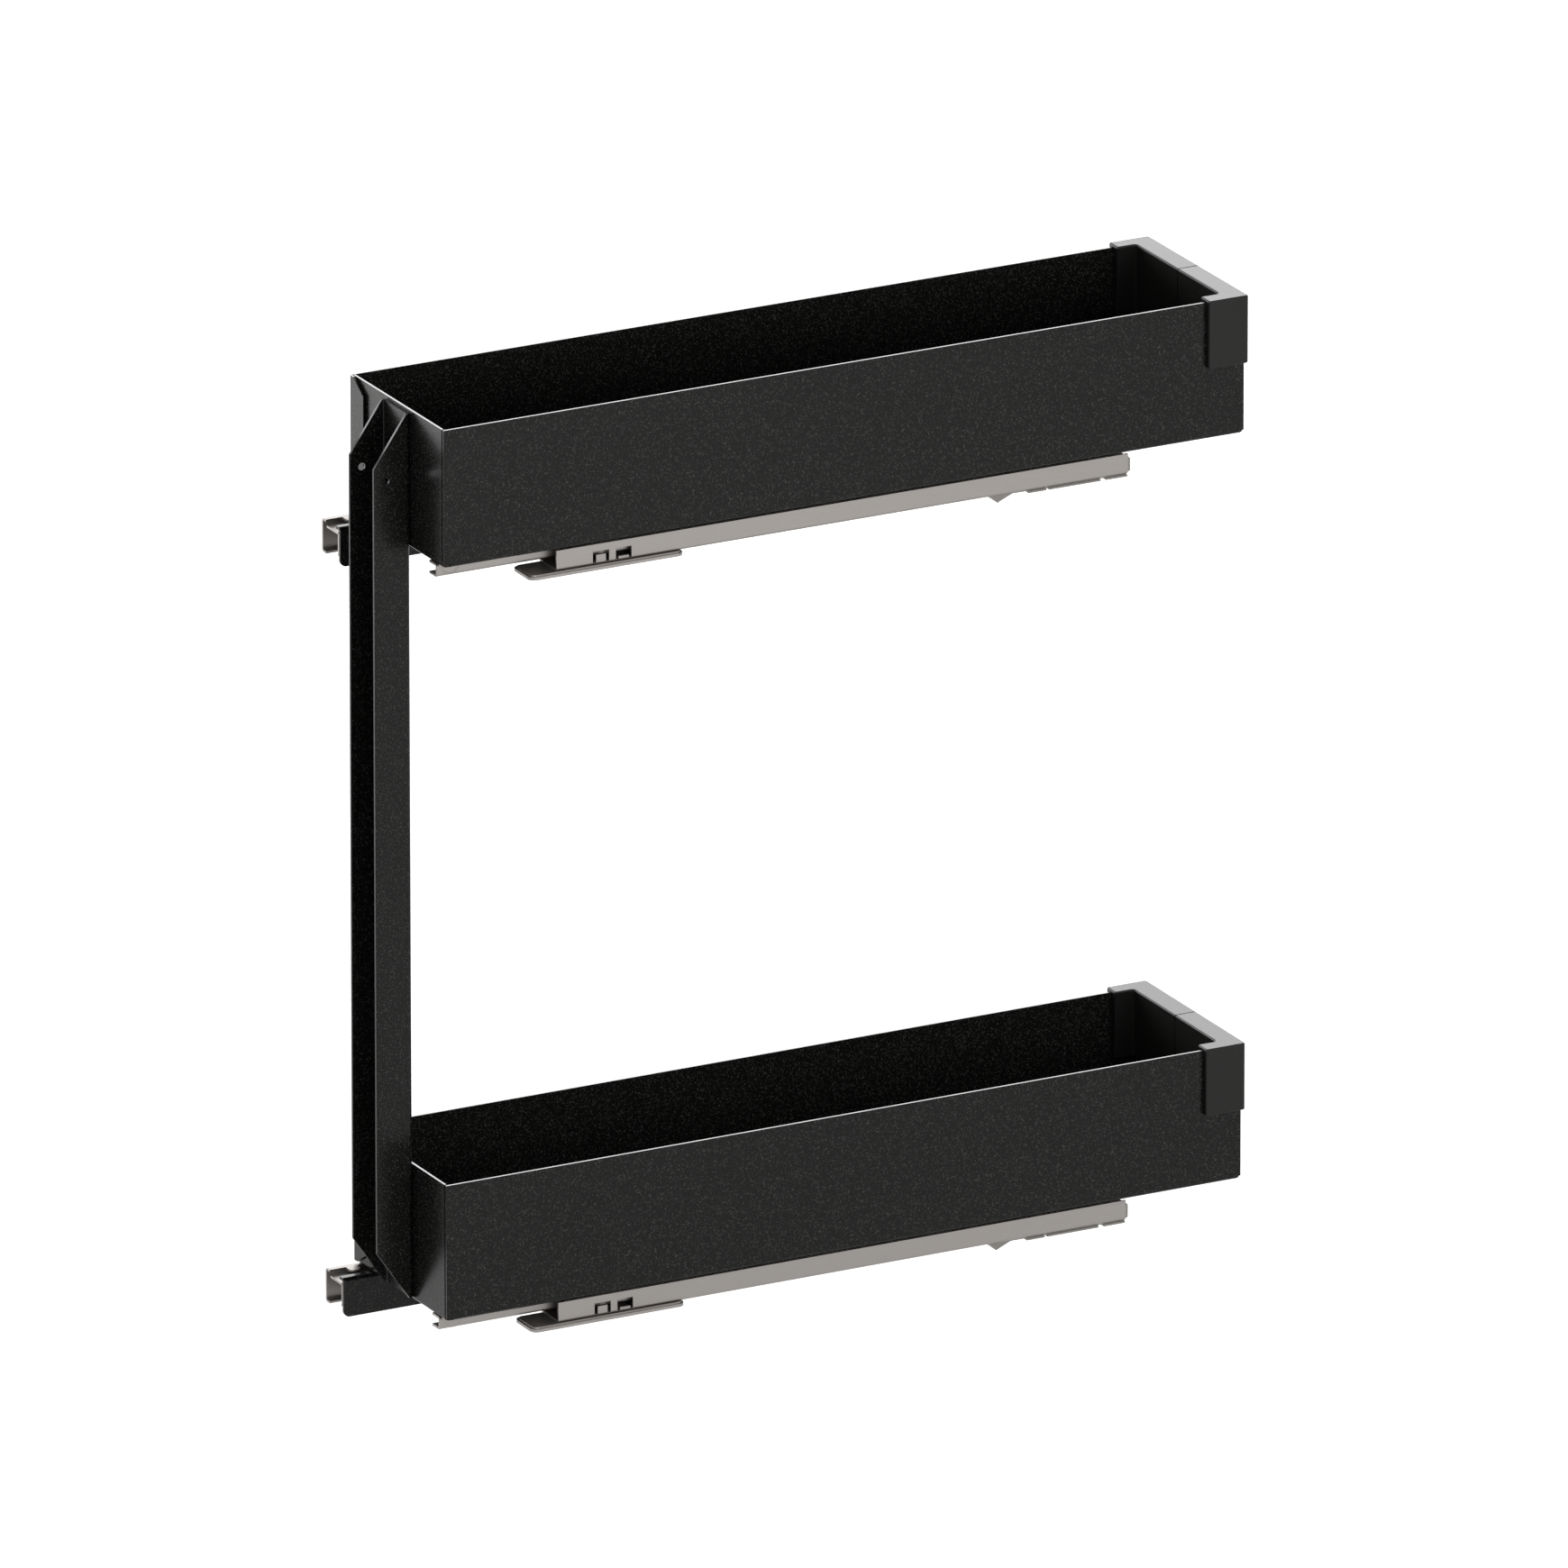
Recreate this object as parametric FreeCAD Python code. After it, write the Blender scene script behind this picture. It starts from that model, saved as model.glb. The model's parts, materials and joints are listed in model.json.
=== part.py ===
import FreeCAD, Part
import math
import os
from FreeCAD import Vector

# Pull-out rack for a narrow base cabinet: two folded trays on one front post, carried under
# each tray by a telescopic runner on the near side and another one on the far side.
# Millimetres. While it is built, X = 0 is the middle of the trays' width, Y = 0 is the front
# face of the trays with the rear at +Y, and Z = 0 is the underside of the lower tray.

# Working allowances
past = 1.0            # how far a cut runs past the surface that it opens
lap = 1.0             # length that two joined stretches of one piece share
pick = 0.01           # nearness that counts as the same place when edges are picked
running_gap = 0.3     # between pieces that slide past each other

# Trays: folded steel sheet, powder coated
tray_width = 104.0
tray_length = 470.0
tray_height = 75.4
tray_sheet = 1.2
tray_bend = 0.5
tray_pitch = 415.0
tray_seam = 1.2
tray_relief = 4.0
rear_flap_gap = 0.3
tab_width = 16.0
tab_gap = 0.6
tab_slant_run = 11.5
tab_slant_drop = 7.5

# Front post: folded channel that opens to the front
post_width = 28.8
post_depth = 21.4
post_sheet = 1.5
post_bend = 1.0
post_bottom_rise = 1.5
post_top_drop = 2.0
post_slant = 27.5
post_hole_radius = 2.1
post_hole_from_edge = 7.0
post_hole_below_slant = 7.3
post_rivet_half_pitch = 8.0
post_rivet_heights = (15.0, 48.0)

# Rivets
rivet_radius = 2.0
rivet_head_radius = 3.8
rivet_head_height = 1.3
rivet_tail_radius = 3.0
rivet_tail_height = 1.2
rivet_clearance = 0.1
sunk_head_radius = 3.0
sunk_head_depth = 0.9
floor_rivet_ys = (45.0, 200.0, 355.0)

# Moulded rear caps: two halves straddle the rear corners of each tray
cap_side_overhang = 3.7
cap_rear_overhang = 1.1
cap_rise = 1.5
cap_skirt = 37.2
cap_leg_length = 23.7
cap_leg_width = 9.8
cap_bar_width = 12.7
cap_seam = 0.2
cap_sheet_clearance = 0.15
cap_corner_radius = 2.0
cap_leg_radius = 1.0
cap_edge_radius = 0.9
cap_core_wall = 1.6
cap_core_depth = 30.0

# Near runner, under each tray on the +X side
near_sheet = 1.2
near_bend = 0.4
near_face_inset = 1.0
near_rail_front = 66.0
near_rail_length = 336.0
near_rail_top_gap = 1.0
near_rail_depth = 12.2
near_rail_width = 20.0
near_inner_leg = 6.7
near_slide_inset = 8.4
near_slide_width = 8.4
near_slide_height = 7.2
near_slide_length = 398.0
near_middle_sheet = 1.0
near_middle_front = 72.0
near_middle_length = 326.0
near_side_gap = 3.0
near_bottom_gap = 2.1
near_leg_gap = 1.2
near_tongue_reach = 7.7
near_middle_top_gap = 2.0
near_lane_insets = (3.0, 11.6)
near_cage_inset = 1.0
near_outer_cage_front = 176.0
near_outer_cage_length = 114.0
near_inner_cage_front = 180.0
near_inner_cage_length = 110.0
near_ball_count = 6
near_boss_foot_radius = 6.4
near_boss_top_radius = 4.3
near_boss_y = 7.7
near_boss_below = 0.4
near_boss_rise = 0.8

# Window and tongue cut in the near cabinet rail
slot_front = 87.2
slot_width = 9.5
slot_height = 6.1
slot_top_drop = 5.0
slot_stroke = 1.9
window_front = 100.6
window_width = 9.2
window_height = 6.2
window_tab_width = 6.0
window_tab_rise = 1.5

# Foot plate under the front of the near runner
foot_front = 50.0
foot_length = 90.0
foot_width = 22.0
foot_side_reach = 2.0
foot_sheet = 1.6
foot_rise = 0.8
foot_corner = 4.0
foot_rim = 1.3
foot_ramp_degrees = 68.0
foot_ramp_round = 0.6
foot_thread_radius = 1.65
foot_thread_first = 27.0
foot_thread_pitch = 48.0
foot_rivet_radius = 2.0
foot_rivet_head = 3.2
foot_rivet_head_height = 0.8

# Plug and clip at the rear of the near cabinet rail
plug_proud = 1.3
plug_depth = 2.0
plug_height = 7.6
plug_top_drop = 3.2
plug_side_inset = 0.2
clip_pads = ((277.3, 10.7), (289.6, 30.4), (323.2, 12.6))
clip_sheet = 1.5
clip_width = 15.0
clip_side_inset = 0.4
clip_spine = 0.5
clip_spine_inset = 1.0
clip_hook_start = 255.0
clip_hook_tip = 4.9
clip_hook_length = 7.0
clip_hook_root = 15.4
clip_hook_drop = 4.6
clip_hook_lift = 1.0
clip_hook_width = 11.5

# Soft-close unit beside the near cabinet rail
unit_front = 232.0
unit_length = 160.0
unit_width = 12.4
unit_top_drop = 3.2
unit_height = 13.8
unit_wall = 1.2
unit_stroke = 36.0
catch_length = 15.0
catch_width = 6.0
catch_height = 5.0
catch_notch = 3.0
catch_top_drop = 0.4
catch_rear_gap = 1.0
catch_skirt = 2.0
damper_radius = 3.6
damper_length = 69.0
damper_end_gap = 2.0
rod_radius = 1.0
rod_clearance = 0.1
rod_held = 18.0
spring_radius = 1.9
spring_wire = 0.35
spring_pitch = 2.6
spring_end_gap = 0.1
striker_width = 5.0
striker_length = 12.0
striker_sheet = 2.0
striker_drop = 1.5
striker_rear_gap = 3.0

# Far runner, under each tray on the -X side
far_sheet = 1.2
far_bend = 0.5
far_rail_front = -18.0
far_rail_length = 450.0
far_top_gap = 0.3
far_rail_height = 18.7
far_flange = 4.6
far_tongue_start = 9.6
far_tongue_width = 6.4
far_tongue_reach = 6.2
far_tongue_round = 2.8
far_middle_sheet = 1.0
far_middle_front = 2.0
far_middle_length = 426.0
far_ball_gap = 3.0
far_side_gap = 1.5
far_middle_left = 4.4
far_middle_right = 7.8
far_step = 1.8
far_lane_inset = 1.0
far_slide_top_drop = 3.1
far_slide_length = 448.0
far_slide_bottom_front = 14.0
far_outer_cage_front = 94.0
far_outer_cage_length = 222.0
far_inner_cage_front = 112.0
far_inner_cage_length = 206.0
far_ball_count = 8
screw_front_y = 17.0
screw_pitch = 384.0
screw_hole_radius = 2.25
screw_access_radius = 4.0

# Black bracket between the far runner and the tray
bracket_sheet = 1.5
bracket_inset = 21.0
bracket_drop = 21.5
bracket_lip = 5.0
bracket_seat = 9.8
bracket_seat_front = 3.0
bracket_front = -18.0
bracket_length = 420.0
bracket_corner = 3.5
bracket_rivet_drop = 10.0
bracket_rivet_ys = (40.0, 200.0, 360.0)

# Balls and their cages
ball_clearance = 0.3
cage_sheet = 0.7
cage_ball_clearance = 0.1
cage_strip_width = 3.4

# Sizes that follow from the ones above
half_width = tray_width / 2
post_back = 0.0
post_front = post_back - post_depth
post_top = tray_pitch + tray_height - post_top_drop
far_web = -half_width
far_mid_drop = far_top_gap + far_rail_height / 2
origin = Vector(far_web, screw_front_y + screw_pitch / 2, tray_pitch / 2 - far_mid_drop)
levels = (("lower", 0.0), ("upper", tray_pitch))


def box(x0, x1, y0, y1, z0, z1):
    """A block between two places on each axis."""
    low = Vector(min(x0, x1), min(y0, y1), min(z0, z1))
    return Part.makeBox(abs(x1 - x0), abs(y1 - y0), abs(z1 - z0), low)


def rod(radius, start, end):
    """A round bar between two points."""
    return Part.makeCylinder(radius, (end - start).Length, start, end - start)


def joined(shapes):
    """Several overlapping or touching blocks as one solid."""
    whole = shapes[0].fuse(shapes[1:]) if len(shapes) > 1 else shapes[0]
    return whole.removeSplitter()


def wedge(corners, push):
    """A prism from the corners of one face and the way that it is pushed."""
    return Part.Face(Part.makePolygon(corners + corners[:1])).extrude(push)


def group(shapes):
    """Separate solids that share one node."""
    solids = []
    for shape in shapes:
        solids.extend(shape.Solids)
    return Part.makeCompound(solids)


def rounded(shape, radius, wanted):
    """The shape with the edges that the test picks rounded."""
    edges = [edge for edge in shape.Edges if wanted(edge)]
    return shape.makeFillet(radius, edges)


def runs_along(edge, axis):
    """Whether a straight edge runs along X, Y or Z."""
    if edge.Curve.TypeId != "Part::GeomLine":
        return False
    return abs(getattr(edge.Curve.Direction, axis)) > 0.999


def left_of(way):
    """The direction a quarter turn to the left of another one, in the plane."""
    return Vector(-way.y, way.x, 0)


def way_from(start, end):
    """Unit direction between two points of the plane."""
    return (end - start).normalize()


def folded(path, sheet, bend, lie, push):
    """Folded sheet: path is the sheet's middle line in a plane, bend the inside radius.

    lie puts a point of the plane in space, and push is the way and length of the extrusion.
    """
    radius = bend + sheet / 2
    corners = [Vector(across, along, 0) for across, along in path]
    outline = []
    ends = []
    for side in (1, -1):
        shift = side * sheet / 2
        start = corners[0] + left_of(way_from(corners[0], corners[1])) * shift
        first = start
        for before, here, after in zip(corners, corners[1:], corners[2:]):
            enter_way = way_from(before, here)
            leave_way = way_from(here, after)
            turn = math.atan2(enter_way.cross(leave_way).z, enter_way.dot(leave_way))
            hand = math.copysign(1, turn)
            centre = here - enter_way * radius * math.tan(abs(turn) / 2) + left_of(enter_way) * hand * radius
            reach = radius - hand * shift
            enter = centre - left_of(enter_way) * hand * reach
            leave = centre - left_of(leave_way) * hand * reach
            middle = centre + way_from(centre, here) * reach
            outline.append(Part.LineSegment(lie(start), lie(enter)).toShape())
            outline.append(Part.Arc(lie(enter), lie(middle), lie(leave)).toShape())
            start = leave
        last = corners[-1] + left_of(way_from(corners[-2], corners[-1])) * shift
        outline.append(Part.LineSegment(lie(start), lie(last)).toShape())
        ends.append((first, last))
    for one, other in zip(*ends):
        outline.append(Part.LineSegment(lie(one), lie(other)).toShape())
    wire = Part.Wire(Part.__sortEdges__(outline))
    return Part.Face(wire).extrude(push)


def section(y):
    """Puts a plane point (x, z) at one place along the runner."""
    return lambda point: Vector(point.x, y, point.y)


def profile(x):
    """Puts a plane point (y, z) at one place across the rack."""
    return lambda point: Vector(x, point.x, point.y)


def plan(z):
    """Puts a plane point (x, y) at one height."""
    return lambda point: Vector(point.x, point.y, z)


def tray(z):
    """Open tray folded from one sheet: a return tab at the far front corner, a seam at the near one."""
    top = z + tray_height
    mid = tray_sheet / 2
    turn = tray_bend + tray_sheet
    wall = half_width - mid
    reach = turn + lap
    trough = folded([(-wall, top), (-wall, z + mid), (wall, z + mid), (wall, top)],
                    tray_sheet, tray_bend, section(turn), Vector(0, tray_length - 2 * turn, 0))
    front_start = -half_width + turn
    front_end = half_width - tray_sheet - tray_seam
    front = folded([(reach, z + mid), (mid, z + mid), (mid, top)], tray_sheet, tray_bend,
                   profile(front_start), Vector(front_end - front_start, 0, 0))
    flap_half = half_width - tray_sheet - rear_flap_gap
    flap = folded([(tray_length - reach, z + mid), (tray_length - mid, z + mid), (tray_length - mid, top)],
                  tray_sheet, tray_bend, profile(-flap_half), Vector(2 * flap_half, 0, 0))
    tails = [box(side * half_width, side * (half_width - tray_sheet), tray_length - reach, tray_length,
                 z + turn, top) for side in (-1, 1)]
    tails.append(box(half_width - tray_sheet, half_width, 0, reach, z + turn, top))
    relief = box(half_width - turn, half_width + past, -past, tray_relief, z - past, z + turn)
    tab_front = -tab_gap - tray_sheet
    tab = folded([(-wall, reach), (-wall, tab_front + mid), (-half_width + tab_width, tab_front + mid)],
                 tray_sheet, tray_bend, plan(z + turn), Vector(0, 0, tray_height - turn))
    slope = tab_slant_drop / tab_slant_run
    outside_x = -half_width + tab_width + past
    slant_x = -half_width + tab_width - tab_slant_run
    for base, way in ((z + turn, 1), (top, -1)):
        slant_z = base + way * slope * (outside_x - slant_x)
        beyond_z = base - way * past
        corners = [(slant_x, base), (outside_x, slant_z), (outside_x, beyond_z), (slant_x, beyond_z)]
        tab = tab.cut(wedge([Vector(x, tab_front - past, height) for x, height in corners],
                            Vector(0, tray_sheet + past, 0)))
    pan = joined([trough, front, flap, tab] + tails)
    return pan.cut(post_rivet_holes(z) + floor_rivet_holes(z) + [relief])


def post_rivet_spots(z):
    """Where the post is riveted to a tray."""
    return [(side * post_rivet_half_pitch, z + height)
            for side in (-1, 1) for height in post_rivet_heights]


def post_rivet_holes(z):
    """Holes for the post's rivets, through the post and the tray's front wall."""
    return [rod(rivet_radius + rivet_clearance, Vector(x, post_back - post_sheet - past, height),
                Vector(x, tray_sheet + past, height)) for x, height in post_rivet_spots(z)]


def post_rivets():
    """Domed rivets that join the post to the front walls."""
    rivets = []
    for _, z in levels:
        for x, height in post_rivet_spots(z):
            front = post_back - post_sheet
            shank = rod(rivet_radius, Vector(x, front, height), Vector(x, tray_sheet, height))
            head = rivet_head(Vector(x, front, height), Vector(0, -1, 0),
                              rivet_head_radius, rivet_head_height)
            tail = rivet_head(Vector(x, tray_sheet, height), Vector(0, 1, 0),
                              rivet_tail_radius, rivet_tail_height)
            rivets.append(joined([shank, head, tail]))
    return group(rivets)


def rivet_head(seat, way, radius, height):
    """Low dome: a slice of a ball standing on its seat."""
    ball = (radius ** 2 + height ** 2) / (2 * height)
    dome = Part.makeSphere(ball, seat + way * (height - ball))
    keep = Part.makeCylinder(radius + past, height + past, seat, way)
    return dome.common(keep)


def post():
    """Channel that carries both trays, its flanges slanted off at both ends."""
    mid = post_sheet / 2
    half = post_width / 2 - mid
    front = post_front
    bottom = post_bottom_rise
    body = folded([(-half, front), (-half, post_back - mid), (half, post_back - mid), (half, front)],
                  post_sheet, post_bend, plan(bottom), Vector(0, 0, post_top - bottom))
    web = post_back - post_sheet - post_bend
    slope = post_slant / (web - front)
    cuts = []
    for end, way in ((bottom, 1), (post_top, -1)):
        slant_z = end + way * slope * (web - front + past)
        beyond_z = end - way * past
        corners = [(web, end), (front - past, slant_z), (front - past, beyond_z), (web, beyond_z)]
        cuts.append(wedge([Vector(-post_width, y, height) for y, height in corners],
                          Vector(2 * post_width, 0, 0)))
    hole_y = front + post_hole_from_edge
    hole_z = post_top - post_slant - post_hole_below_slant
    cuts.append(rod(post_hole_radius, Vector(-post_width, hole_y, hole_z),
                    Vector(post_width, hole_y, hole_z)))
    for _, z in levels:
        cuts.extend(post_rivet_holes(z))
    return body.cut(cuts)


def cap_half(z, side):
    """Half of a rear cap: it straddles the side wall and half of the rear wall."""
    top = z + tray_height + cap_rise
    bottom = top - cap_skirt
    out_x = half_width + cap_side_overhang
    back_y = tray_length + cap_rear_overhang
    front_y = back_y - cap_leg_length
    leg = box(out_x - cap_leg_width, out_x, front_y, back_y, bottom, top)
    bar = box(cap_seam / 2, out_x, back_y - cap_bar_width, back_y, bottom, top)
    body = joined([leg, bar])
    body = rounded(body, cap_corner_radius, lambda edge: runs_along(edge, "z")
                   and edge.BoundBox.XMin > cap_seam and edge.BoundBox.YMin > front_y + pick)
    body = rounded(body, cap_leg_radius, lambda edge: runs_along(edge, "z")
                   and edge.BoundBox.YMax < front_y + pick)
    body = rounded(body, cap_edge_radius, lambda edge: edge.BoundBox.ZMin > top - pick
                   and edge.BoundBox.XMax > cap_seam)
    wall = half_width - tray_sheet - cap_sheet_clearance
    below = bottom - past
    slot_side = box(wall, half_width + cap_sheet_clearance, 0, tray_length + cap_sheet_clearance,
                    below, z + tray_height)
    slot_rear = box(-past, half_width, tray_length - tray_sheet - cap_sheet_clearance,
                    tray_length + cap_sheet_clearance, below, z + tray_height)
    core_side_x = wall - cap_core_wall
    core_rear = tray_length - tray_sheet - cap_sheet_clearance - cap_core_wall
    core_top = bottom + cap_core_depth
    core_side = box(out_x - cap_leg_width + cap_core_wall, core_side_x, front_y + cap_core_wall, core_rear,
                    below, core_top)
    core_bar = box(cap_seam / 2 + cap_core_wall, core_side_x, back_y - cap_bar_width + cap_core_wall,
                   core_rear, below, core_top)
    body = body.cut([slot_side, slot_rear, core_side, core_bar])
    if side < 0:
        body = body.mirror(Vector(0, 0, 0), Vector(1, 0, 0))
    return body


# Places in the near runner's section, measured down from the tray's underside
near_face = half_width - near_face_inset
near_inner = near_face - near_rail_width
near_rail_rear = near_rail_front + near_rail_length
near_slide_face = half_width - near_slide_inset
near_slide_open = near_slide_face - near_slide_width
near_middle_face = near_face - near_sheet - near_side_gap
near_middle_leg = near_inner + near_sheet + near_leg_gap
near_middle_drop = near_rail_depth - near_sheet - near_bottom_gap
near_ball_lane = (near_slide_height - 2 * near_sheet - near_middle_sheet) / 2
near_tongue_drop = near_slide_height / 2


def near_cabinet_rail(z):
    """Outer rail of the near runner: a channel that opens upwards."""
    mid = near_sheet / 2
    rail = folded([(near_inner + mid, z - near_rail_depth + near_inner_leg),
                   (near_inner + mid, z - near_rail_depth + mid),
                   (near_face - mid, z - near_rail_depth + mid),
                   (near_face - mid, z - near_rail_top_gap)],
                  near_sheet, near_bend, section(near_rail_front), Vector(0, near_rail_length, 0))
    inside, outside = near_face - near_sheet - past, near_face + past
    cut_top = z - slot_top_drop
    slot = box(inside, outside, slot_front, slot_front + slot_width, cut_top - slot_height, cut_top)
    tongue = box(inside, outside, slot_front + slot_stroke, slot_front + slot_width - slot_stroke,
                 cut_top - slot_height, cut_top - slot_stroke)
    window = box(inside, outside, window_front, window_front + window_width,
                 cut_top - window_height, cut_top)
    tab_front = window_front + (window_width - window_tab_width) / 2
    tab = box(inside, outside, tab_front, tab_front + window_tab_width,
              cut_top - window_height, cut_top - window_height + window_tab_rise)
    holes = [slot.cut(tongue), window.cut(tab)]
    for x, y in foot_thread_spots() + [foot_rivet_spot()]:
        holes.append(rod(foot_rivet_radius + rivet_clearance, Vector(x, y, z - near_rail_depth - past),
                         Vector(x, y, z - near_rail_depth + near_sheet + past)))
    return rail.cut(holes)


def foot_thread_spots():
    """Threaded fixing points of the foot plate."""
    x = near_face + foot_side_reach - foot_width / 2
    return [(x, foot_front + foot_thread_first + step * foot_thread_pitch) for step in (0, 1)]


def foot_rivet_spot():
    """The rivet between foot plate and rail, midway between the threads."""
    x, y = foot_thread_spots()[0]
    return (x, y + foot_thread_pitch / 2)


def near_foot_plate(z):
    """Plate under the front of the cabinet rail, pressed up where the rail lies on it, with two threads."""
    seat = z - near_rail_depth
    top = seat - foot_rise
    out_x = near_face + foot_side_reach
    rear = foot_front + foot_length
    plate = box(out_x - foot_width, out_x, foot_front, rear, top - foot_sheet, top)
    plate = rounded(plate, foot_corner, lambda edge: runs_along(edge, "z"))
    land_front = foot_front + foot_rim
    land = box(out_x - foot_width + foot_rim, out_x - foot_rim, land_front, rear - foot_rim,
               top - foot_sheet / 2, seat)
    land = rounded(land, foot_corner - foot_rim, lambda edge: runs_along(edge, "z"))
    steep = math.tan(math.radians(foot_ramp_degrees))
    ramp_back = land_front + foot_rise / steep
    above = seat + past
    ramp = [(land_front, top), (ramp_back + past / steep, above), (land_front - past, above),
            (land_front - past, top)]
    land = land.cut(wedge([Vector(out_x - foot_width, y, height) for y, height in ramp],
                          Vector(foot_width, 0, 0)))
    land = rounded(land, foot_ramp_round, lambda edge: runs_along(edge, "x")
                   and abs(edge.BoundBox.YMin - ramp_back) < pick and edge.BoundBox.ZMin > seat - pick)
    spots = foot_thread_spots() + [foot_rivet_spot()]
    radii = [foot_thread_radius, foot_thread_radius, foot_rivet_radius + rivet_clearance]
    holes = [rod(radius, Vector(x, y, top - foot_sheet - past), Vector(x, y, seat + past))
             for (x, y), radius in zip(spots, radii)]
    return joined([plate, land]).cut(holes)


def near_foot_rivet(z):
    """Rivet that holds the foot plate to the rail, flush inside the rail."""
    x, y = foot_rivet_spot()
    plate_bottom = Vector(x, y, z - near_rail_depth - foot_rise - foot_sheet)
    shank = rod(foot_rivet_radius, plate_bottom, Vector(x, y, z - near_rail_depth + near_sheet))
    head = rivet_head(plate_bottom, Vector(0, 0, -1), foot_rivet_head, foot_rivet_head_height)
    return joined([shank, head])


def near_middle_rail(z):
    """Middle rail of the near runner: it carries the tray's rail on an inward tongue."""
    mid = near_middle_sheet / 2
    tongue = z - near_tongue_drop
    return folded([(near_middle_leg + near_tongue_reach, tongue), (near_middle_leg + mid, tongue),
                   (near_middle_leg + mid, z - near_middle_drop + mid),
                   (near_middle_face - mid, z - near_middle_drop + mid),
                   (near_middle_face - mid, z - near_middle_top_gap)],
                  near_middle_sheet, near_bend, section(near_middle_front),
                  Vector(0, near_middle_length, 0))


def near_tray_rail(z):
    """Tray's own rail: a channel that opens inwards, riveted flush under the floor."""
    mid = near_sheet / 2
    rail = folded([(near_slide_open, z - mid), (near_slide_face - mid, z - mid),
                   (near_slide_face - mid, z - near_slide_height + mid),
                   (near_slide_open, z - near_slide_height + mid)],
                  near_sheet, near_bend, section(0), Vector(0, near_slide_length, 0))
    boss = Part.makeCone(near_boss_foot_radius, near_boss_top_radius, near_boss_rise,
                         Vector(near_slide_face, near_boss_y, z - near_boss_below), Vector(1, 0, 0))
    boss = boss.common(box(0, half_width, 0, near_slide_length, z - near_slide_height, z))
    arm_rear = unit_front + unit_length - striker_rear_gap
    unit_middle = near_inner - unit_width / 2
    striker_y = arm_rear - striker_length / 2
    arm = box(unit_middle - striker_width / 2, near_slide_open + lap, arm_rear - striker_length, arm_rear,
              z - near_sheet, z)
    striker = box(unit_middle - striker_width / 2, unit_middle + striker_width / 2,
                  striker_y - striker_sheet / 2, striker_y + striker_sheet / 2,
                  z - near_sheet - striker_drop, z)
    rail = joined([rail, boss, arm, striker])
    return rail.cut(near_floor_rivet_holes(z))


def near_floor_rivet_spots():
    """Rivets between the tray's floor and its near rail."""
    return [(near_slide_face - near_slide_width / 2, y) for y in floor_rivet_ys]


def far_floor_rivet_spots():
    """Rivets between the tray's floor and the far bracket."""
    x = -half_width + bracket_inset - bracket_seat / 2
    return [(x, y) for y in floor_rivet_ys]


def near_floor_rivet_holes(z):
    """Holes for the near floor rivets, through rail and floor."""
    return [rod(rivet_radius + rivet_clearance, Vector(x, y, z - near_sheet - past),
                Vector(x, y, z + tray_sheet + past)) for x, y in near_floor_rivet_spots()]


def far_floor_rivet_holes(z):
    """Holes for the far floor rivets, through bracket and floor."""
    return [rod(rivet_radius + rivet_clearance, Vector(x, y, z - bracket_sheet - past),
                Vector(x, y, z + tray_sheet + past)) for x, y in far_floor_rivet_spots()]


def sunk_cone(x, y, z, play, rise):
    """Cone of a sunk rivet head: it narrows down from the top of a tray's floor."""
    slope = (sunk_head_radius - rivet_radius) / sunk_head_depth
    foot = Vector(x, y, z + tray_sheet - sunk_head_depth)
    return Part.makeCone(rivet_radius + play, sunk_head_radius + play + slope * rise,
                         sunk_head_depth + rise, foot)


def floor_rivet_holes(z):
    """All holes in a tray's floor, sunk so that the rivets' heads lie flush in it."""
    sinks = [sunk_cone(x, y, z, rivet_clearance, past)
             for x, y in near_floor_rivet_spots() + far_floor_rivet_spots()]
    return near_floor_rivet_holes(z) + far_floor_rivet_holes(z) + sinks


def floor_rivets(z):
    """Rivets flush with the tray's floor and with the underside of the rail or bracket."""
    rivets = []
    spots = [(spot, near_sheet) for spot in near_floor_rivet_spots()]
    spots += [(spot, bracket_sheet) for spot in far_floor_rivet_spots()]
    for (x, y), grip in spots:
        shank = rod(rivet_radius, Vector(x, y, z - grip), Vector(x, y, z + tray_sheet))
        rivets.append(joined([shank, sunk_cone(x, y, z, 0, 0)]))
    return group(rivets)


def ball_rows(strips, lanes, front, length, count):
    """Cage strips with their balls.

    Each lane is (x, z, radius, axis): the row's place in the section and the way a ball sticks
    out of its strip.
    """
    cage = joined(strips)
    balls = []
    pockets = []
    step = length / count
    for x, z, radius, axis in lanes:
        for index in range(count):
            spot = Vector(x, front + (index + 0.5) * step, z)
            balls.append(Part.makeSphere(radius, spot))
            reach = axis * (radius + cage_sheet)
            pockets.append(rod(radius + cage_ball_clearance, spot - reach, spot + reach))
    return group([cage.cut(pockets)] + balls)


def near_outer_cage(z):
    """Ball cage between the near cabinet rail and the middle rail."""
    front, rear = near_outer_cage_front, near_outer_cage_front + near_outer_cage_length
    side_x = near_middle_face + near_side_gap / 2
    floor_z = z - near_middle_drop - near_bottom_gap / 2
    half = cage_sheet / 2
    side = box(side_x - half, side_x + half, front, rear, floor_z - half,
               z - near_middle_top_gap - near_cage_inset)
    floor = box(near_middle_leg + near_cage_inset, side_x + half, front, rear, floor_z - half, floor_z + half)
    lanes = [(side_x, z - near_middle_drop / 2, near_side_gap / 2 - ball_clearance, Vector(1, 0, 0))]
    for inset in near_lane_insets:
        lanes.append((near_middle_leg + inset, floor_z, near_bottom_gap / 2 - ball_clearance,
                      Vector(0, 0, 1)))
    return ball_rows([side, floor], lanes, front, near_outer_cage_length, near_ball_count)


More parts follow.
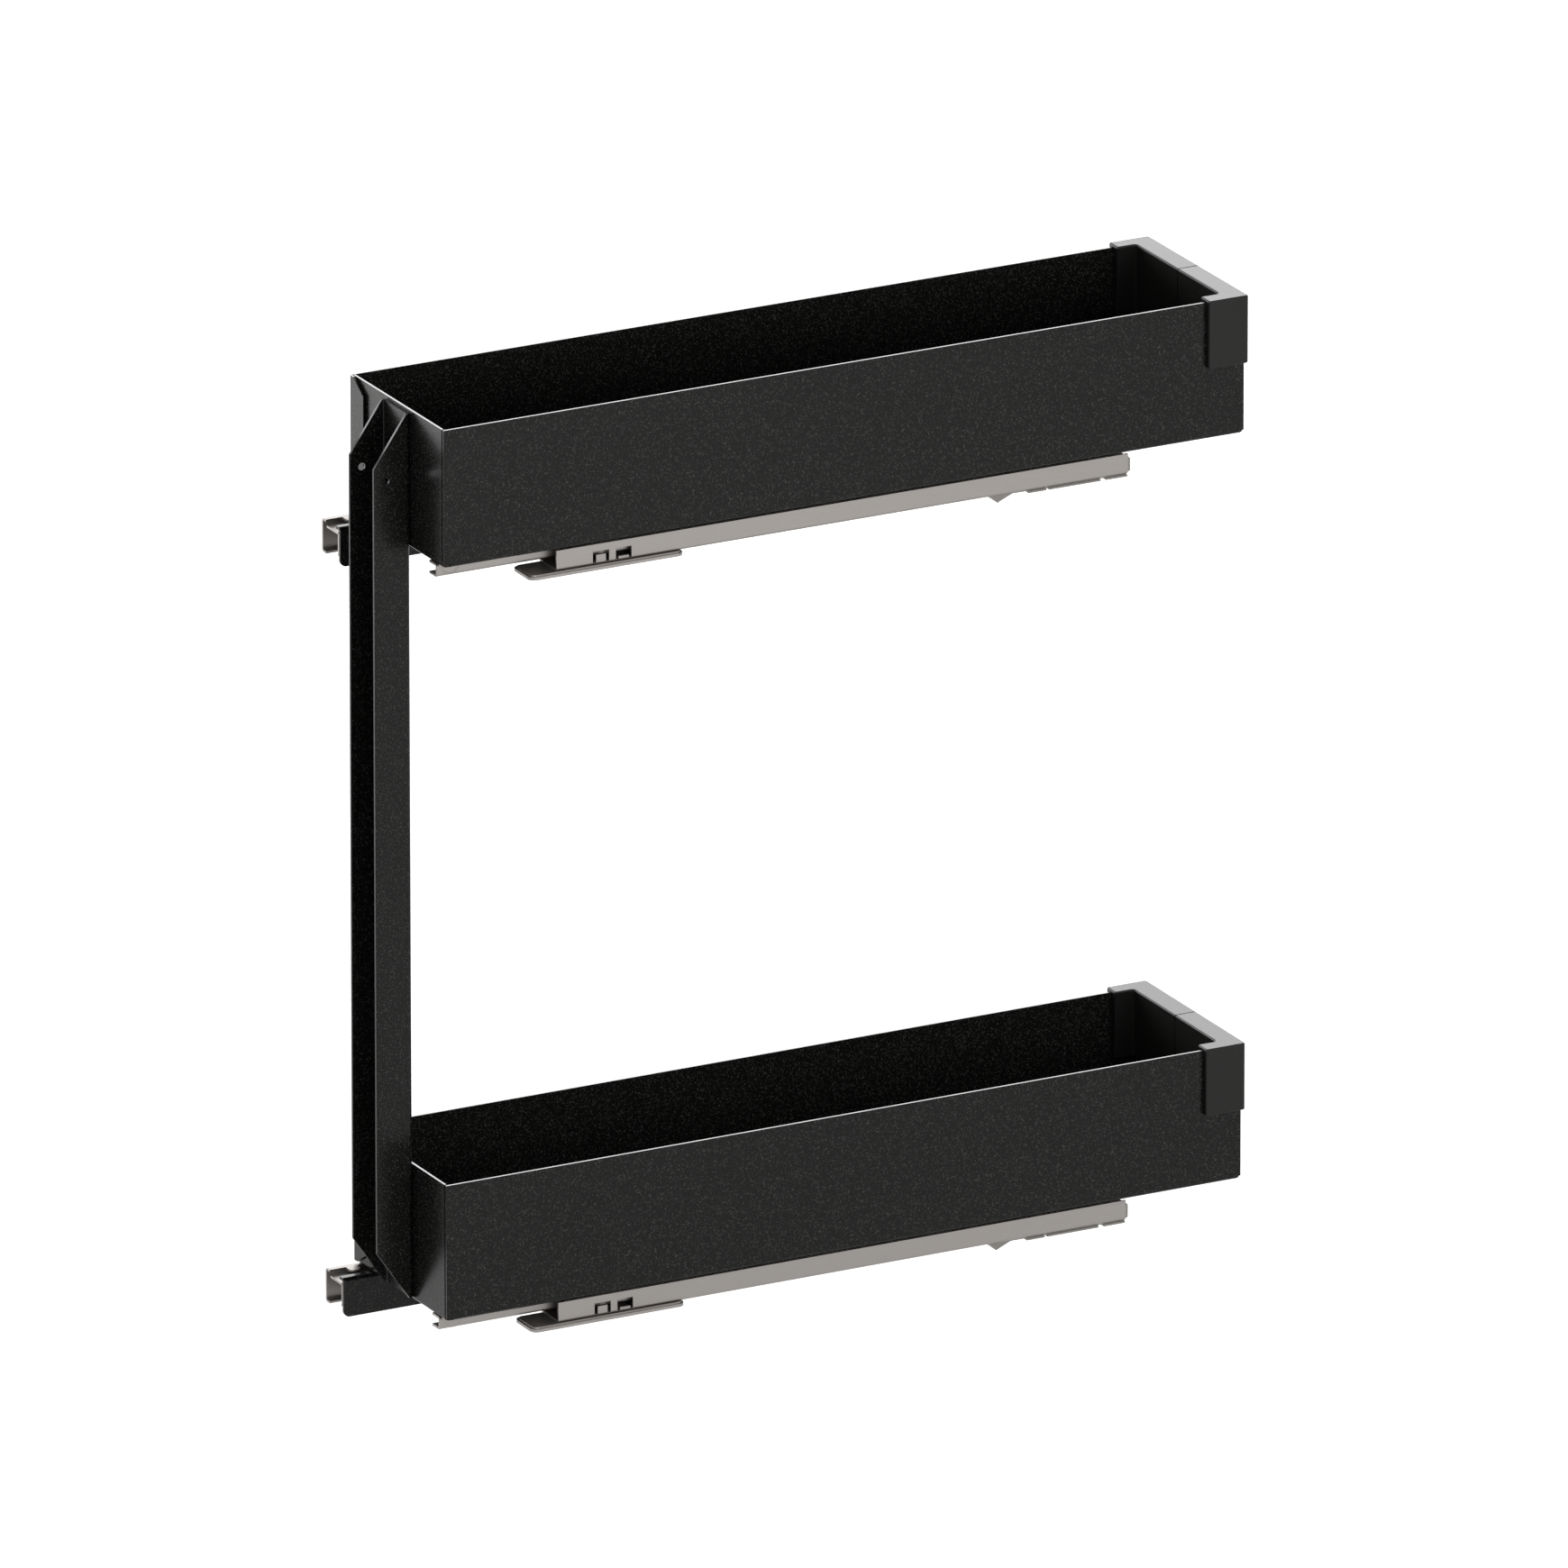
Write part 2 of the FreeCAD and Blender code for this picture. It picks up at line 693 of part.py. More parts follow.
def near_inner_cage(z):
    """Ball cage round the middle rail's tongue, inside the tray's rail."""
    front, rear = near_inner_cage_front, near_inner_cage_front + near_inner_cage_length
    tip = near_middle_leg + near_tongue_reach
    nose = tip + running_gap
    half = cage_sheet / 2
    drop = near_middle_sheet / 2 + near_ball_lane / 2
    tongue = z - near_tongue_drop
    start = near_slide_open + running_gap
    strips = [box(nose, nose + cage_sheet, front, rear, tongue - drop - half, tongue + drop + half)]
    lanes = []
    for way in (-1, 1):
        height = tongue + way * drop
        strips.append(box(start, nose + cage_sheet, front, rear, height - half, height + half))
        lanes.append(((start + tip) / 2, height, near_ball_lane / 2 - ball_clearance, Vector(0, 0, 1)))
    return ball_rows(strips, lanes, front, near_inner_cage_length, near_ball_count)


def near_rear_plug(z):
    """Moulded stop in the rear end of the cabinet rail."""
    rear = near_rail_rear + plug_proud
    top = z - plug_top_drop
    left = near_inner + near_sheet + near_bend
    right = near_face - near_sheet - near_bend
    head = box(left, near_face - plug_side_inset, near_rail_rear, rear, top - plug_height, top)
    shank = box(left, right, near_rail_rear - plug_depth, near_rail_rear,
                z - near_rail_depth + near_sheet, top)
    return rounded(joined([head, shank]), plug_proud / 2,
                   lambda edge: runs_along(edge, "x") and edge.BoundBox.YMin > rear - pick)


def near_rear_clip(z):
    """Moulded clip under the rear of the cabinet rail, with three pads and a sprung hook."""
    top = z - near_rail_depth
    right = near_face - clip_side_inset
    left = right - clip_width
    start = near_rail_front + clip_hook_start
    end = near_rail_front + clip_pads[-1][0] + clip_pads[-1][1]
    parts = [box(left, right - clip_spine_inset, start, end, top - clip_spine, top)]
    for offset, length in clip_pads:
        parts.append(box(left, right, near_rail_front + offset, near_rail_front + offset + length,
                         top - clip_sheet, top - clip_spine))
    corners = [(0, 0), (clip_hook_tip, clip_hook_drop), (clip_hook_length, clip_hook_drop - clip_hook_lift),
               (clip_hook_root, 0)]
    hook_x = (left + right - clip_hook_width) / 2
    parts.append(wedge([Vector(hook_x, start + along, top - drop) for along, drop in corners],
                       Vector(clip_hook_width, 0, 0)))
    return joined(parts)


def unit_box():
    """Plan limits of the soft-close unit."""
    return near_inner - unit_width, near_inner, unit_front, unit_front + unit_length


def unit_housing(z):
    """Moulded tray-shaped housing of the soft-close unit, fixed to the cabinet rail's inner leg."""
    left, right, front, rear = unit_box()
    top = z - unit_top_drop
    bottom = top - unit_height
    body = box(left, right, front, rear, bottom, top)
    body = rounded(body, unit_wall, lambda edge: runs_along(edge, "y") and edge.BoundBox.XMax < left + pick)
    hollow = box(left + unit_wall, right - unit_wall, front + unit_wall, rear - unit_wall,
                 bottom + unit_wall, top - unit_wall)
    middle = (left + right) / 2
    slot = box(middle - catch_width / 2 - running_gap, middle + catch_width / 2 + running_gap,
               catch_rear() - catch_length - unit_stroke - running_gap, catch_rear() + running_gap,
               top - unit_wall - past, top + past)
    return body.cut([hollow, slot])


def catch_rear():
    """Rear face of the catch when the rack is shut."""
    return unit_front + unit_length - unit_wall - catch_rear_gap


def damper_rear():
    """Rear face of the damper, where its rod comes out."""
    return unit_front + unit_wall + damper_length


def damper_place(z):
    """X and height of the damper's axis."""
    left, right, _, _ = unit_box()
    return (left + right) / 2, z - unit_top_drop - unit_height + unit_wall + damper_radius + running_gap


def unit_catch(z):
    """Sliding catch with a notch for the striker, joined to the damper's rod."""
    x, axis_z = damper_place(z)
    rear = catch_rear()
    front = rear - catch_length
    top = z - unit_top_drop - catch_top_drop
    body = box(x - catch_width / 2, x + catch_width / 2, front, rear, axis_z - rod_radius - catch_skirt, top)
    middle = (front + rear) / 2
    corners = [(middle - catch_notch, top + past), (middle, top - catch_height),
               (middle + catch_notch, top + past)]
    notch = wedge([Vector(x - catch_width, y, height) for y, height in corners],
                  Vector(2 * catch_width, 0, 0))
    return body.cut(notch)


def unit_rod(z):
    """Piston rod of the damper."""
    x, axis_z = damper_place(z)
    return rod(rod_radius, Vector(x, damper_rear() - rod_held, axis_z),
               Vector(x, catch_rear() - catch_length, axis_z))


def unit_damper(z):
    """Damper cylinder with a bore that takes the rod's whole stroke."""
    x, axis_z = damper_place(z)
    tube = rod(damper_radius, Vector(x, unit_front + unit_wall, axis_z), Vector(x, damper_rear(), axis_z))
    bore_front = damper_rear() - rod_held - unit_stroke - damper_end_gap
    bore = rod(rod_radius + rod_clearance, Vector(x, bore_front, axis_z),
               Vector(x, damper_rear() + past, axis_z))
    return tube.cut(bore)


def unit_spring(z):
    """Closing spring round the piston rod: it pushes the catch back from the damper's face."""
    x, axis_z = damper_place(z)
    inset = spring_wire + spring_end_gap
    length = catch_rear() - catch_length - damper_rear() - 2 * inset
    helix = Part.makeHelix(spring_pitch, length, spring_radius)
    ring = Part.Wire(Part.makeCircle(spring_wire, Vector(spring_radius, 0, 0), Vector(0, 1, 0)))
    wire = Part.Wire(helix).makePipeShell([ring], True, True)
    wire.rotate(Vector(0, 0, 0), Vector(1, 0, 0), -90)
    wire.translate(Vector(x, damper_rear() + inset, axis_z))
    return wire


# Places in the far runner's section, measured from its web and down from the tray's underside
far_web_in = far_web + far_sheet
far_middle_web = far_web_in + far_side_gap + far_middle_left
far_upper_flange_drop = far_top_gap + far_sheet + far_ball_gap
far_outer_lane = far_web + far_flange - far_lane_inset
far_slide_web = -half_width + bracket_inset - bracket_sheet
far_slide_edge = far_outer_lane + cage_strip_width / 2 + running_gap


def far_cabinet_rail(z):
    """Outer rail of the far runner: a channel that opens towards +X, with a locking tongue."""
    mid = far_sheet / 2
    top = z - far_top_gap
    bottom = top - far_rail_height
    flange = far_web + far_flange
    rail = folded([(flange, top - mid), (far_web + mid, top - mid), (far_web + mid, bottom + mid),
                   (flange, bottom + mid)],
                  far_sheet, far_bend, section(far_rail_front), Vector(0, far_rail_length, 0))
    start = far_rail_front + far_tongue_start
    tongue = box(flange - lap, flange + far_tongue_reach, start, start + far_tongue_width,
                 top - far_sheet, top)
    tongue = rounded(tongue, far_tongue_round, lambda edge: runs_along(edge, "z")
                     and edge.BoundBox.XMin > flange + far_tongue_reach - pick)
    holes = screw_holes(z, screw_hole_radius, far_web, far_web + far_sheet)
    return joined([rail, tongue]).cut(holes)


def screw_holes(z, radius, left, right):
    """Holes on the axes of the two wall screws, through whatever lies between two places."""
    return [rod(radius, Vector(left - past, y, z - far_mid_drop), Vector(right + past, y, z - far_mid_drop))
            for y in (screw_front_y, screw_front_y + screw_pitch)]


def far_middle_rail(z):
    """Middle rail of the far runner: a web with ball flanges to both sides."""
    rear = far_middle_front + far_middle_length
    upper = z - far_upper_flange_drop
    lower = z - 2 * far_mid_drop + far_upper_flange_drop
    web = box(far_middle_web, far_middle_web + far_middle_sheet, far_middle_front, rear,
              lower, upper)
    parts = [web]
    for edge, way in ((upper, -1), (lower, 1)):
        near_edge = edge + way * far_middle_sheet
        parts.append(box(far_middle_web - far_middle_left, far_middle_web + far_middle_sheet,
                         far_middle_front, rear, min(edge, near_edge), max(edge, near_edge)))
        inner = edge + way * far_step
        inner_edge = inner + way * far_middle_sheet
        parts.append(box(far_middle_web, far_middle_web + far_middle_right, far_middle_front, rear,
                         min(inner, inner_edge), max(inner, inner_edge)))
    return joined(parts).cut(screw_holes(z, screw_access_radius, far_middle_web,
                                         far_middle_web + far_middle_sheet))


def far_tray_rail(z):
    """Inner rail of the far runner: a channel that opens towards -X, riveted to the bracket."""
    mid = far_sheet / 2
    top = z - far_slide_top_drop
    bottom = z - 2 * far_mid_drop + far_slide_top_drop
    rail = folded([(far_slide_edge, top - mid), (far_slide_web - mid, top - mid),
                   (far_slide_web - mid, bottom + mid), (far_slide_edge, bottom + mid)],
                  far_sheet, far_bend, section(far_rail_front), Vector(0, far_slide_length, 0))
    step = box(far_slide_edge - past, far_slide_web - far_sheet - far_bend, far_rail_front - past,
               far_rail_front + far_slide_bottom_front, bottom - past, bottom + far_sheet + far_bend)
    return rail.cut([step] + bracket_rivet_holes(z))


def bracket_rivet_holes(z):
    """Holes for the rivets between bracket and inner rail."""
    return [rod(rivet_radius + rivet_clearance,
                Vector(far_slide_web - far_sheet - past, y, z - bracket_rivet_drop),
                Vector(far_slide_web + bracket_sheet + past, y, z - bracket_rivet_drop))
            for y in bracket_rivet_ys]


def bracket_rivets(z):
    """Rivets with a domed head on the bracket and a flush end in the inner rail."""
    rivets = []
    for y in bracket_rivet_ys:
        start = Vector(far_slide_web - far_sheet, y, z - bracket_rivet_drop)
        seat = Vector(far_slide_web + bracket_sheet, y, z - bracket_rivet_drop)
        head = rivet_head(seat, Vector(1, 0, 0), rivet_head_radius, rivet_head_height)
        rivets.append(joined([rod(rivet_radius, start, seat), head]))
    return group(rivets)


def far_bracket(z):
    """Black angle that hangs the tray on the far runner, with a wider seat under the floor."""
    face = -half_width + bracket_inset
    mid = bracket_sheet / 2
    rear = bracket_front + bracket_length
    angle = folded([(face - bracket_lip, z - mid), (face - mid, z - mid), (face - mid, z - bracket_drop)],
                   bracket_sheet, tray_bend, section(bracket_front), Vector(0, bracket_length, 0))
    angle = rounded(angle, bracket_corner, lambda edge: runs_along(edge, "x")
                    and edge.BoundBox.ZMax < z - bracket_drop + pick)
    seat = box(face - bracket_seat, face - bracket_lip + lap, bracket_seat_front, rear, z - bracket_sheet, z)
    whole = joined([angle, seat])
    return whole.cut(bracket_rivet_holes(z) + far_floor_rivet_holes(z))


def far_outer_cage(z):
    """Ball cage between the far cabinet rail and the middle rail."""
    front, rear = far_outer_cage_front, far_outer_cage_front + far_outer_cage_length
    upright_x = far_web_in + far_side_gap / 2
    half = cage_sheet / 2
    lane_x = far_outer_lane
    drop = far_top_gap + far_sheet + far_ball_gap / 2
    strips = [box(upright_x - half, upright_x + half, front, rear, z - 2 * far_mid_drop + drop, z - drop)]
    lanes = []
    for height in (z - drop, z - 2 * far_mid_drop + drop):
        strips.append(box(upright_x - half, lane_x + cage_strip_width / 2, front, rear,
                          height - half, height + half))
        lanes.append((lane_x, height, far_ball_gap / 2 - ball_clearance, Vector(0, 0, 1)))
    return ball_rows(strips, lanes, front, far_outer_cage_length, far_ball_count)


def far_inner_cage(z):
    """Ball cage between the far middle rail and the inner rail."""
    front, rear = far_inner_cage_front, far_inner_cage_front + far_inner_cage_length
    upright_x = (far_middle_web + far_middle_right + far_slide_web - far_sheet) / 2
    half = cage_sheet / 2
    lane_x = far_middle_web + far_middle_sheet + (far_middle_right - far_middle_sheet) / 2
    top = far_slide_top_drop + far_sheet
    drop = (top + far_upper_flange_drop + far_step) / 2
    radius = (far_upper_flange_drop + far_step - top) / 2 - ball_clearance
    strips = [box(upright_x - half, upright_x + half, front, rear, z - 2 * far_mid_drop + drop, z - drop)]
    lanes = []
    for height in (z - drop, z - 2 * far_mid_drop + drop):
        strips.append(box(lane_x - cage_strip_width / 2, upright_x + half, front, rear,
                          height - half, height + half))
        lanes.append((lane_x, height, radius, Vector(0, 0, 1)))
    return ball_rows(strips, lanes, front, far_inner_cage_length, far_ball_count)


def nodes():
    """Every named piece with its shape."""
    yield "front_post", post()
    yield "post_rivets", post_rivets()
    for level, z in levels:
        yield "tray_" + level, tray(z)
        yield "cap_near_" + level, cap_half(z, 1)
        yield "cap_far_" + level, cap_half(z, -1)
        yield "floor_rivets_" + level, floor_rivets(z)
        yield "near_tray_rail_" + level, near_tray_rail(z)
        yield "near_middle_rail_" + level, near_middle_rail(z)
        yield "near_cabinet_rail_" + level, near_cabinet_rail(z)
        yield "near_outer_cage_" + level, near_outer_cage(z)
        yield "near_inner_cage_" + level, near_inner_cage(z)
        yield "near_foot_plate_" + level, near_foot_plate(z)
        yield "near_foot_rivet_" + level, near_foot_rivet(z)
        yield "near_rear_plug_" + level, near_rear_plug(z)
        yield "near_rear_clip_" + level, near_rear_clip(z)
        yield "closer_housing_" + level, unit_housing(z)
        yield "closer_catch_" + level, unit_catch(z)
        yield "closer_rod_" + level, unit_rod(z)
        yield "closer_damper_" + level, unit_damper(z)
        yield "closer_spring_" + level, unit_spring(z)
        yield "far_cabinet_rail_" + level, far_cabinet_rail(z)
        yield "far_middle_rail_" + level, far_middle_rail(z)
        yield "far_tray_rail_" + level, far_tray_rail(z)
        yield "far_outer_cage_" + level, far_outer_cage(z)
        yield "far_inner_cage_" + level, far_inner_cage(z)
        yield "far_bracket_" + level, far_bracket(z)
        yield "bracket_rivets_" + level, bracket_rivets(z)


os.makedirs("parts", exist_ok=True)
for name, shape in nodes():
    shape = shape.copy()
    shape.translate(-origin)
    shape.exportStep("parts/" + name + ".step")
    limits = shape.BoundBox
    print("%-26s solids %2d valid %s x %.1f..%.1f y %.1f..%.1f z %.1f..%.1f" % (
        name, len(shape.Solids), shape.isValid(), limits.XMin, limits.XMax,
        limits.YMin, limits.YMax, limits.ZMin, limits.ZMax))
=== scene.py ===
import json
import math

import bmesh
import bpy
from mathutils import Matrix, Vector

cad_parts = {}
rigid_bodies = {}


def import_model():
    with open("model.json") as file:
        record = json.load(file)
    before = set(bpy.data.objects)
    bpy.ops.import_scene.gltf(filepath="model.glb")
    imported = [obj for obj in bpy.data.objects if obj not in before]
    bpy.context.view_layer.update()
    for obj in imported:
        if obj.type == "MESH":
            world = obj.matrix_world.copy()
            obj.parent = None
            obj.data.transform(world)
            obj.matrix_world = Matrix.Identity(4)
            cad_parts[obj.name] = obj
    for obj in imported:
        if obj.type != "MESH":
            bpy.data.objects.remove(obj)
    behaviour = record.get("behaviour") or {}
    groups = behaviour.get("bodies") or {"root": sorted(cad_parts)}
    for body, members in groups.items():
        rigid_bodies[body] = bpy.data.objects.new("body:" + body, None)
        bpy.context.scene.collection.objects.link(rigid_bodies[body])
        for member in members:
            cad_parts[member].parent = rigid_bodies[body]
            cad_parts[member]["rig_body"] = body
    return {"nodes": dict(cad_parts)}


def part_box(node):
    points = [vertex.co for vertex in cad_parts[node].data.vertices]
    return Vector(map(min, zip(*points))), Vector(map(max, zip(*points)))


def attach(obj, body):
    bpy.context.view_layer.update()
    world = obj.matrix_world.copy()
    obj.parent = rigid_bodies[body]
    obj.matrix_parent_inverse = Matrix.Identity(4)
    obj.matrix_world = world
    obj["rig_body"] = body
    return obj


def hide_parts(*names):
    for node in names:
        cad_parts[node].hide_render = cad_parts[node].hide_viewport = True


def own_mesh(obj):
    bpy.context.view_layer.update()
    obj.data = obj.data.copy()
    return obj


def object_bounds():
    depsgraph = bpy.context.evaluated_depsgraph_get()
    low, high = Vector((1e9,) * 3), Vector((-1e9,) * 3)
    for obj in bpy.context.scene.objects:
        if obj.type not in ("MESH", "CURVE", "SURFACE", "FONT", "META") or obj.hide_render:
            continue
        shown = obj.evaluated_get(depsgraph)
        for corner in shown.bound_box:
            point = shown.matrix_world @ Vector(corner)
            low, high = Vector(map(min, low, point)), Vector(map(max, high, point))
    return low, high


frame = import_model()
cad_low, cad_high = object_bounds()
scene = bpy.context.scene


# Camera. It stands far off to the right and front with a long lens, as for a catalogue picture, so
# the rack is seen from its near side and a little from above, with almost no perspective.
camera_place = Vector((15.0971, -7.8751, 6.01615))
camera_azimuth, camera_elevation, camera_roll = (math.radians(angle) for angle in (62.321, 19.361, -0.020))
sensor_width = 36.0
focal_in_pixels = 38222.0
picture_width = 1740
sight = 200.0

camera = bpy.data.objects.new("camera", bpy.data.cameras.new("camera"))
camera.data.sensor_width = sensor_width
camera.data.lens = sensor_width * focal_in_pixels / picture_width
camera.data.clip_end = sight
back = Vector((math.sin(camera_azimuth) * math.cos(camera_elevation),
               -math.cos(camera_azimuth) * math.cos(camera_elevation), math.sin(camera_elevation)))
aim = (-back).to_track_quat("-Z", "Y").to_matrix().to_4x4()
camera.matrix_world = Matrix.Translation(camera_place) @ aim @ Matrix.Rotation(camera_roll, 4, "Z")
scene.collection.objects.link(camera)
scene.camera = camera
scene.view_settings.view_transform = "Standard"


# Studio. A pale floor well below the rack, which hangs from its runners, and an even white room round
# it. Three large soft lamps: one at the near side, one at the far front that the return tabs mirror,
# and one behind that the top faces mirror.
def linear(colour):
    """A hex sRGB colour as linear red, green, blue and alpha."""
    parts = [int(colour[place:place + 2], 16) / 255 for place in (1, 3, 5)]
    return [part / 12.92 if part <= 0.04045 else ((part + 0.055) / 1.055) ** 2.4 for part in parts] + [1.0]


def add_node(tree, kind, inputs=None, **settings):
    """Adds a node, sets it up, and fills or links its inputs."""
    node = tree.nodes.new(kind)
    for name, value in settings.items():
        setattr(node, name, value)
    for name, value in (inputs or {}).items():
        if isinstance(value, bpy.types.NodeSocket):
            tree.links.new(value, node.inputs[name])
        else:
            node.inputs[name].default_value = value
    return node


def seen_directly(tree):
    """1 for rays that come from the camera, or are mirrored or let through by a piece, and 0 for the rest."""
    path = add_node(tree, "ShaderNodeLightPath")
    mirrored = add_node(tree, "ShaderNodeMath", {0: path.outputs["Is Camera Ray"],
                                                 1: path.outputs["Is Glossy Ray"]}, operation="MAXIMUM")
    return add_node(tree, "ShaderNodeMath", {0: mirrored.outputs[0],
                                             1: path.outputs["Is Transmission Ray"]},
                    operation="MAXIMUM").outputs[0]


# White to the eye and to the metal, but a weaker light than white on the rack itself.
room_fill = 0.36
world = bpy.data.worlds.new("white_room")
scene.world = world
world.use_nodes = True
tree = world.node_tree
tree.nodes.clear()
strength = add_node(tree, "ShaderNodeMapRange", {"Value": seen_directly(tree), "To Min": room_fill,
                                                 "To Max": 1.0})
room = add_node(tree, "ShaderNodeBackground", {"Color": linear("#ffffff"), "Strength": strength.outputs[0]})
add_node(tree, "ShaderNodeOutputWorld", {"Surface": room.outputs[0]})

# Matt and pale. It glows a little to the eye, so that it meets the white room without an edge.
floor_glow = 0.55
floor_drop = 0.1
floor_size = 30.0
floor_paint = bpy.data.materials.new("matt_floor_paint")
floor_paint.use_nodes = True
tree = floor_paint.node_tree
tree.nodes.clear()
glow_strength = add_node(tree, "ShaderNodeMath", {0: seen_directly(tree), 1: floor_glow},
                         operation="MULTIPLY")
glow = add_node(tree, "ShaderNodeEmission", {"Color": linear("#ffffff"),
                                             "Strength": glow_strength.outputs[0]})
paint = add_node(tree, "ShaderNodeBsdfDiffuse", {"Color": linear("#f2f2f1")})
both = add_node(tree, "ShaderNodeAddShader", {0: glow.outputs[0], 1: paint.outputs[0]})
add_node(tree, "ShaderNodeOutputMaterial", {"Surface": both.outputs[0]})

shape = bmesh.new()
bmesh.ops.create_grid(shape, x_segments=1, y_segments=1, size=floor_size / 2)
bmesh.ops.translate(shape, verts=shape.verts, vec=(0, 0, cad_low.z - floor_drop))
floor_mesh = bpy.data.meshes.new("floor")
shape.to_mesh(floor_mesh)
shape.free()
floor_mesh.materials.append(floor_paint)
floor = bpy.data.objects.new("floor", floor_mesh)
scene.collection.objects.link(floor)


def soft_lamp(name, away, distance, size, power):
    """A soft oblong lamp that stands off from the rack in one direction and faces it."""
    lamp = bpy.data.objects.new(name, bpy.data.lights.new(name, "AREA"))
    lamp.data.shape = "RECTANGLE"
    lamp.data.size, lamp.data.size_y = size
    lamp.data.energy = power
    middle = (cad_low + cad_high) / 2
    away = Vector(away).normalized()
    lamp.matrix_world = (Matrix.Translation(middle + away * distance)
                         @ away.to_track_quat("Z", "Y").to_matrix().to_4x4())
    scene.collection.objects.link(lamp)


soft_lamp("key_lamp", (0.95, 0.10, 0.28), 3.0, (2.0, 1.2), 30.0)
soft_lamp("side_lamp", (-0.80, -0.54, 0.18), 2.5, (1.4, 0.9), 32.0)
soft_lamp("back_lamp", (-0.8355, 0.4382, 0.3315), 3.0, (2.4, 1.4), 37.0)


# Trays. Each is folded from one steel sheet, with its cut edges deburred, and powder coated black
# after it is folded. The coat looks satin, and each edge shows as a thin light line. Its pale flecks are
# painted glints:
# the light that its grain catches, put into its colour. Grain and flecks are about 0.3 mm on the real coat
# and are drawn coarser here, so that they show.
LEVELS = ("lower", "upper")
grain_size = 0.0009
grain_height = 0.00006
fleck_size = 0.0009
fleck_start = 0.54
fleck_full = 0.80
sheet_edge = 0.00012
sharp_angle = math.radians(40)
smooth_angle = math.radians(35)
flat_angle = math.radians(0.5)
weld_distance = 1e-6


def coated(name, ground, fleck, roughness, sheen_level, grain):
    """A textured skin: flecks of a lighter shade and a fine bumpy grain."""
    coat = bpy.data.materials.new(name)
    coat.use_nodes = True
    tree = coat.node_tree
    shader = tree.nodes["Principled BSDF"]
    place = add_node(tree, "ShaderNodeTexCoord").outputs["Object"]
    flecks = add_node(tree, "ShaderNodeTexNoise", {"Vector": place, "Scale": 1 / fleck_size, "Detail": 2.0,
                                                   "Roughness": 0.6})
    share = add_node(tree, "ShaderNodeMapRange", {"Value": flecks.outputs["Fac"], "From Min": fleck_start,
                                                  "From Max": fleck_full})
    colour = add_node(tree, "ShaderNodeMix", {"Factor": share.outputs[0], "A": linear(ground),
                                              "B": linear(fleck)}, data_type="RGBA")
    tree.links.new(colour.outputs["Result"], shader.inputs["Base Color"])
    bumps = add_node(tree, "ShaderNodeTexNoise", {"Vector": place, "Scale": 1 / grain_size, "Detail": 3.0})
    relief = add_node(tree, "ShaderNodeBump", {"Height": bumps.outputs["Fac"], "Strength": grain,
                                               "Distance": grain_height})
    tree.links.new(relief.outputs[0], shader.inputs["Normal"])
    shader.inputs["Roughness"].default_value = roughness
    shader.inputs["Specular IOR Level"].default_value = sheen_level
    return coat


# The coat is satin and nearly black, with pale flecks. The upward faces of its cut rims take a copy with a
# painted highlight:
# a slightly lighter ground and a much stronger, smoother sheen, so that they mirror more of the lamp behind.
# The pale fleck colour of this coat is painted glints off its grain.
powder_coat = coated("black_powder_coat", "#111110", "#545452", 0.24, 0.17, 0.35)
rim_highlight_coat = coated("black_coat_with_painted_rim_highlight", "#161615", "#1e1e1d", 0.2, 0.75, 0.05)


def finished(node, name, material, edge):
    """A copy of a node with its sharp edges broken by the given width, and with its finish."""
    shape = bmesh.new()
    shape.from_mesh(frame["nodes"][node].data)
    bmesh.ops.remove_doubles(shape, verts=shape.verts, dist=weld_distance)
    bmesh.ops.dissolve_limit(shape, angle_limit=flat_angle, verts=shape.verts, edges=shape.edges)
    if edge:
        sharp = [side for side in shape.edges
                 if len(side.link_faces) == 2 and side.calc_face_angle() > sharp_angle]
        bmesh.ops.bevel(shape, geom=sharp, offset=edge, offset_type="OFFSET", segments=2, profile=0.5,
                        affect="EDGES", clamp_overlap=True, material=-1)
    mesh = bpy.data.meshes.new(name)
    shape.to_mesh(mesh)
    shape.free()
    mesh.materials.append(material)
    mesh.shade_smooth()
    mesh.set_sharp_from_angle(angle=smooth_angle)
    piece = bpy.data.objects.new(name, mesh)
    scene.collection.objects.link(piece)
    even = piece.modifiers.new("even_normals", "WEIGHTED_NORMAL")
    even.keep_sharp = True
    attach(piece, frame["nodes"][node]["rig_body"])
    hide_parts(node)
    return piece


def painted(node, material):
    """A node that keeps its own mesh and takes its finish."""
    piece = frame["nodes"][node]
    piece.data.materials.clear()
    piece.data.materials.append(material)


for level in LEVELS:
    tray = finished("tray_" + level, "folded_tray_" + level, powder_coat, sheet_edge)
    tray.data.materials.append(rim_highlight_coat)
    rim_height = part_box("tray_" + level)[1].z - 2 * sheet_edge
    # Upward faces at the top of the rims take the copy with the painted highlight.
    for face in tray.data.polygons:
        if face.normal.z > 0.5 and face.center.z > rim_height:
            face.material_index = 1


# Post and rivets. A folded steel channel that opens to the front, in the same coat as the trays. Domed
# rivets hold it to their front walls, and others, sunk flush, hold the runners to their floors.
finished("front_post", "folded_post", powder_coat, sheet_edge / 2)
painted("post_rivets", powder_coat)
for level in LEVELS:
    painted("floor_rivets_" + level, powder_coat)
